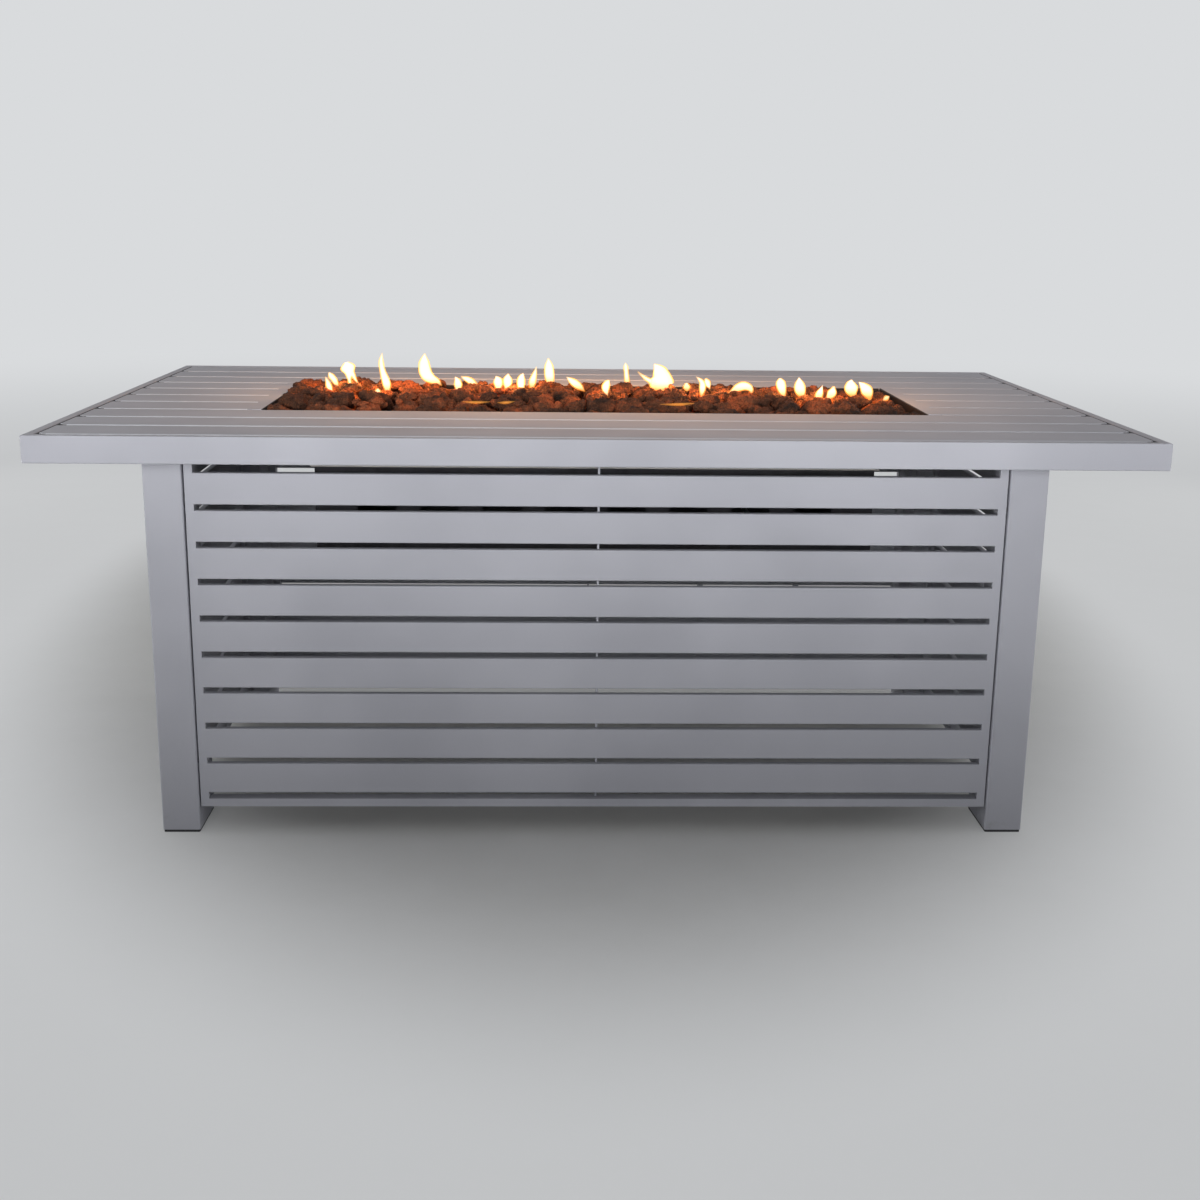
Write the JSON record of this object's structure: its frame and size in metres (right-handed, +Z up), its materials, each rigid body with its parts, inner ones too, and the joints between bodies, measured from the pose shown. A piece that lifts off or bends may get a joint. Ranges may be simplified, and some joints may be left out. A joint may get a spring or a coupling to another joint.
{
  "type": "fire pit table",
  "caption": "Long low outdoor gas fire table: slatted metal base on corner legs, planked top round a trough of lava rock.",
  "frame": {"origin": "middle of the footprint, on the ground", "axes": "+X along the length, to the right for someone at the front, +Y to the back, +Z up"},
  "size_m": [1.524, 0.945, 0.632],
  "materials": {
    "powder_coat": "satin silver-grey powder coat",
    "stainless": "brushed stainless steel, heat-tinted near the flames",
    "shield_steel": "folded steel sheet, darkened by heat, its rim bare",
    "brass": "machined brass",
    "gas_tube": "drawn tube",
    "zinc": "zinc-plated steel",
    "lava": "rough porous lava stone",
    "black_plastic": "moulded black plastic",
    "knob_plastic": "moulded black plastic, fine texture",
    "ceramic": "glazed ceramic",
    "lead_sleeve": "heat-proof sleeve"
  },
  "bodies": {
    "root": {"air_mixer": "brass", "base_beam_front": "powder_coat", "base_beam_left": "powder_coat", "base_beam_rear": "powder_coat", "base_beam_right": "powder_coat", "bulkhead_nuts": "zinc", "burner": "stainless", "control_plate": "powder_coat", "fire_tray": "stainless", "foot_glides": "black_plastic", "front_panel_frame": "powder_coat", "front_panel_slats": "powder_coat", "gas_inlet_fitting": "brass", "gas_valve": "brass", "heat_shield": "shield_steel", "hinge_pins": "stainless", "igniter_housing": "black_plastic", "inlet_pipe": "gas_tube", "lava_gravel": "lava", "lava_rocks": "lava", "left_panel_frame": "powder_coat", "left_panel_slats": "powder_coat", "leg_front_left": "powder_coat", "leg_front_right": "powder_coat", "leg_hinge_leaves": "powder_coat", "leg_rear_left": "powder_coat", "leg_rear_right": "powder_coat", "magnetic_catch": "black_plastic", "opening_crossbar_left": "powder_coat", "opening_crossbar_right": "powder_coat", "panel_spacers": "black_plastic", "pilot_hood": "stainless", "rear_panel_frame": "powder_coat", "rear_panel_slats": "powder_coat", "sensor_leads": "lead_sleeve", "spark_electrode": "ceramic", "supply_pipe": "gas_tube", "thermocouple": "gas_tube", "top_bearers": "powder_coat", "top_board_front_1": "powder_coat", "top_board_front_2": "powder_coat", "top_board_front_3": "powder_coat", "top_board_rear_1": "powder_coat", "top_board_rear_2": "powder_coat", "top_board_rear_3": "powder_coat", "top_boards_left": "powder_coat", "top_boards_right": "powder_coat", "top_rail_front": "powder_coat", "top_rail_left": "powder_coat", "top_rail_rear": "powder_coat", "top_rail_right": "powder_coat", "tray_screws": "stainless"},
    "door": {"door_frame": "powder_coat", "door_slats": "powder_coat", "door_hinge_leaves": "powder_coat", "door_pull": "stainless", "strike_plate": "zinc"},
    "valve_stem": {"valve_stem": "brass"},
    "control_knob": {"control_knob": "knob_plastic"},
    "igniter_button": {"igniter_button": "knob_plastic"}
  },
  "joints": [
    {"name": "door_hinge", "type": "hinge", "parent": "root", "child": "door", "pos_m": [0.6463, 0.2375, 0.29], "axis": [0, 0, 1], "range_deg": [0, 120]},
    {"name": "valve_turn", "type": "hinge", "parent": "root", "child": "valve_stem", "pos_m": [0.262, 0.3345, 0.47913], "axis": [0, 1, 0], "range_deg": [0, 180]},
    {"name": "knob_push", "type": "slide", "parent": "valve_stem", "child": "control_knob", "axis": [0, -1, 0], "range_m": [0, 0.003], "stiffness_N_per_m": 500, "springref_m": -0.001},
    {"name": "igniter_press", "type": "slide", "parent": "root", "child": "igniter_button", "axis": [0, -1, 0], "range_m": [0, 0.005], "stiffness_N_per_m": 500, "springref_m": -0.001}
  ]
}
